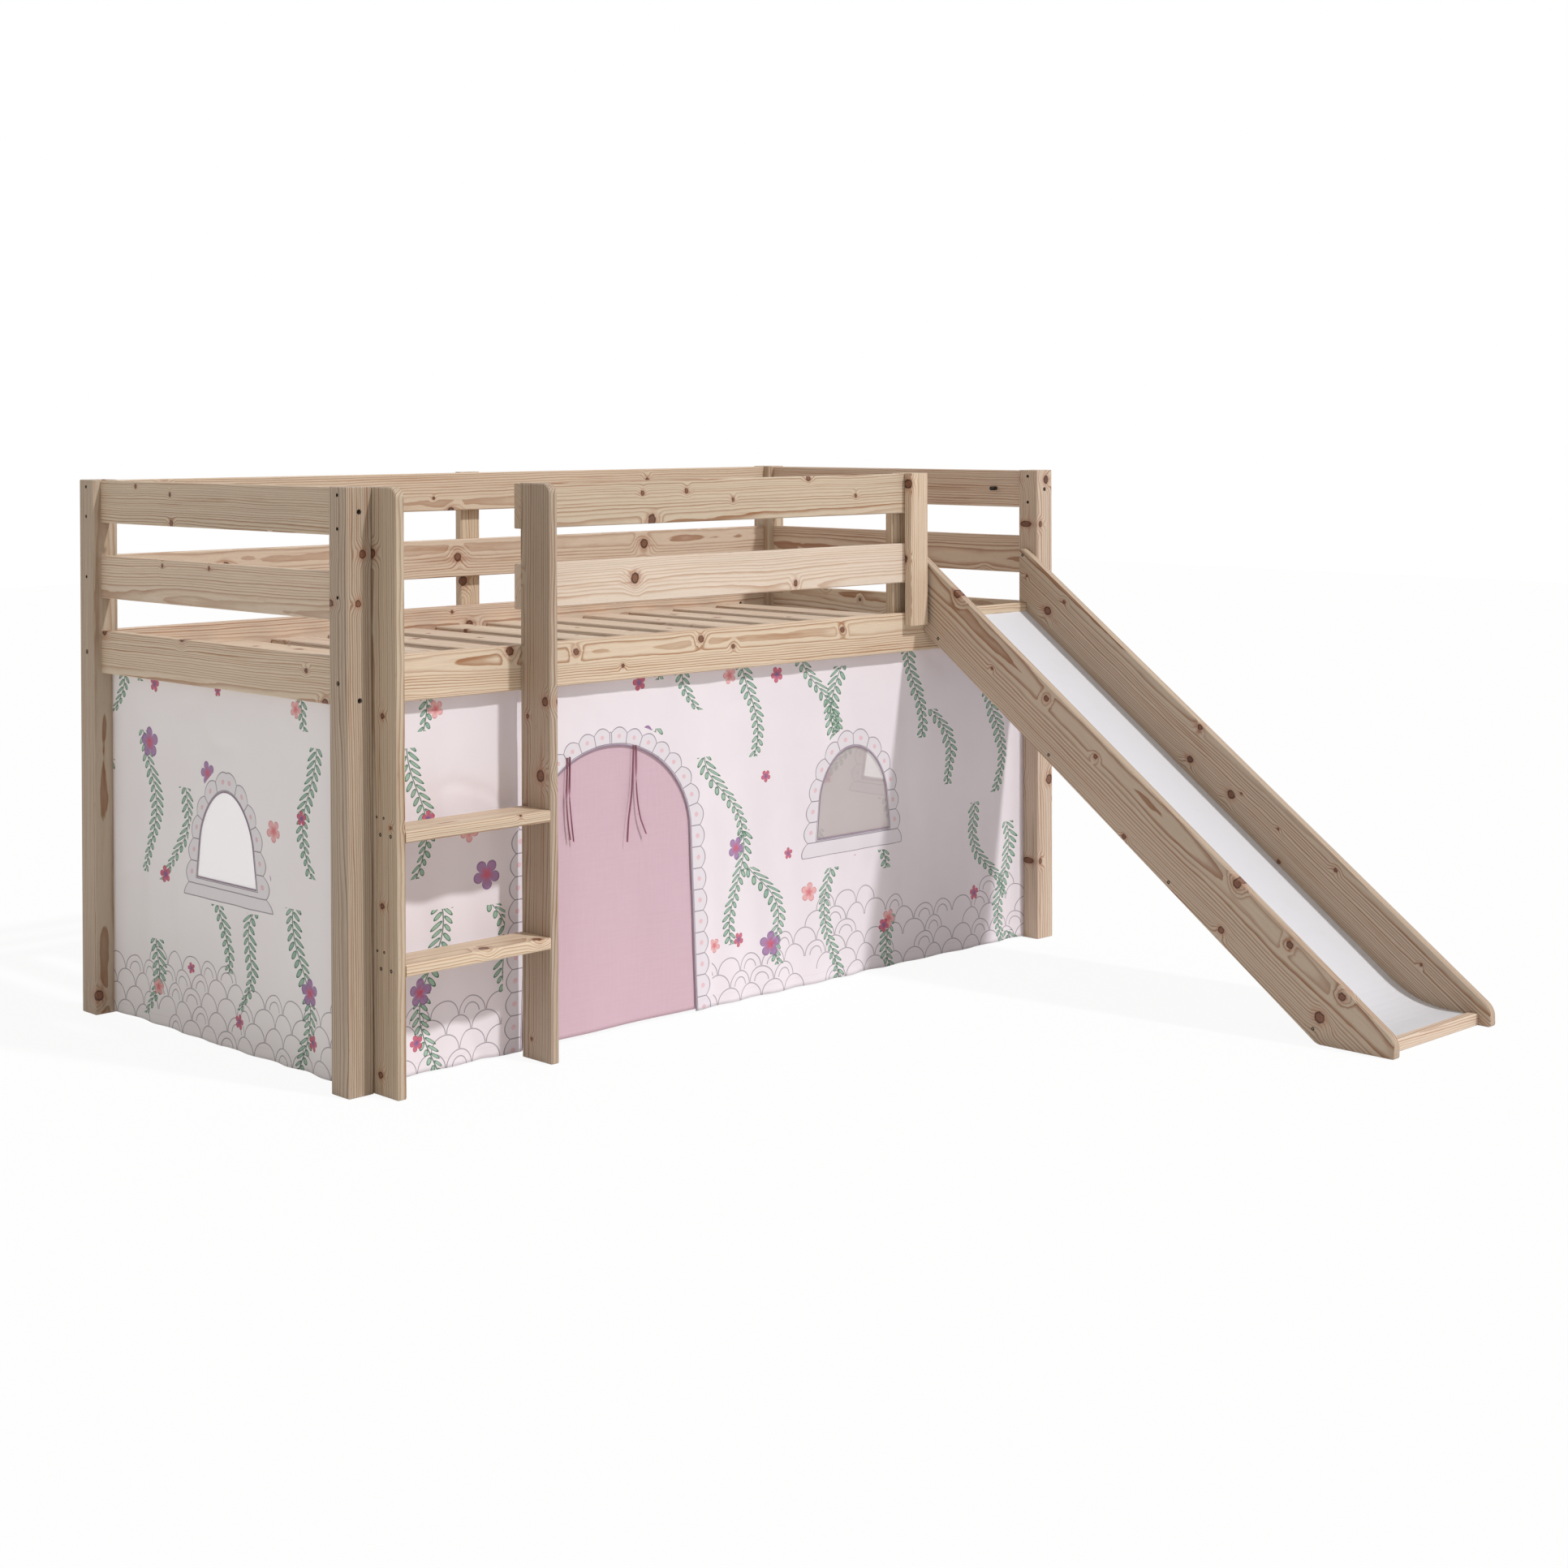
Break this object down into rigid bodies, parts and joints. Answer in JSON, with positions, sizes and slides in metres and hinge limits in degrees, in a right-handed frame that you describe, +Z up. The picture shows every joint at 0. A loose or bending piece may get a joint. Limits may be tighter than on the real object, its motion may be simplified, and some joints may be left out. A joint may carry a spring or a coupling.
{
  "type": "loft bed with slide",
  "caption": "Pine mid-sleeper bed with ladder, slatted base, guard rails, slide and tent curtains with door and windows.",
  "frame": {"origin": "on the floor, under the middle of the footprint, slide included", "axes": "+X along the bed towards the slide's end, -Y towards the side with the ladder and the slide, +Z up"},
  "size_m": [2.062, 2.2202, 1.14],
  "materials": {
    "pine": "planed pine, clear satin lacquer",
    "slat_pine": "planed pine, unfinished",
    "white_board": "white-faced hardboard, satin",
    "printed_cotton": "printed woven cotton",
    "sheer_net": "sheer white voile",
    "pink_cotton": "plain woven cotton, pink",
    "hook_tape": "woven hook-and-loop tape, white"
  },
  "bodies": {
    "bed": {"post_front_left": "pine", "post_front_right": "pine", "post_rear_left": "pine", "post_rear_right": "pine", "left_top_rail": "pine", "left_middle_rail": "pine", "left_bed_rail": "pine", "right_top_rail": "pine", "right_middle_rail": "pine", "right_bed_rail": "pine", "front_bed_rail": "pine", "rear_bed_rail": "pine", "rear_middle_rail": "pine", "rear_top_rail": "pine", "rear_batten": "pine", "front_guard_rail_top": "pine", "front_guard_rail_middle": "pine", "guard_batten_outer": "pine", "guard_batten_inner": "pine", "ladder_side_left": "pine", "ladder_side_right": "pine", "ladder_tread_1": "pine", "ladder_tread_2": "pine", "slide_side_left": "pine", "slide_side_right": "pine", "slide_crosspiece": "pine", "slide_cleat_1": "pine", "slide_cleat_2": "pine", "slide_cleat_3": "pine", "slide_cleat_4": "pine", "slat_ledge_front": "pine", "slat_ledge_rear": "pine", "slat_01": "slat_pine", "slat_02": "slat_pine", "slat_03": "slat_pine", "slat_04": "slat_pine", "slat_05": "slat_pine", "slat_06": "slat_pine", "slat_07": "slat_pine", "slat_08": "slat_pine", "slat_09": "slat_pine", "slat_10": "slat_pine", "slat_11": "slat_pine", "slat_12": "slat_pine", "slide_panel": "white_board", "curtain_front": "printed_cotton", "curtain_left": "printed_cotton", "curtain_right": "printed_cotton", "window_net_front": "sheer_net", "window_net_left": "sheer_net", "window_net_right": "sheer_net", "door_flap_head": "pink_cotton", "tie_left_a": "pink_cotton", "tie_left_b": "pink_cotton", "tie_right_a": "pink_cotton", "tie_right_b": "pink_cotton", "hook_tape_front": "hook_tape", "hook_tape_left": "hook_tape", "hook_tape_right": "hook_tape"},
    "door_cloth": {"door_flap": "pink_cotton"}
  },
  "joints": [
    {"name": "door_swing", "type": "hinge", "parent": "bed", "child": "door_cloth", "pos_m": [-0.351, 0.16425, 0.4], "axis": [1, 0, 0], "range_deg": [0, 80]}
  ]
}
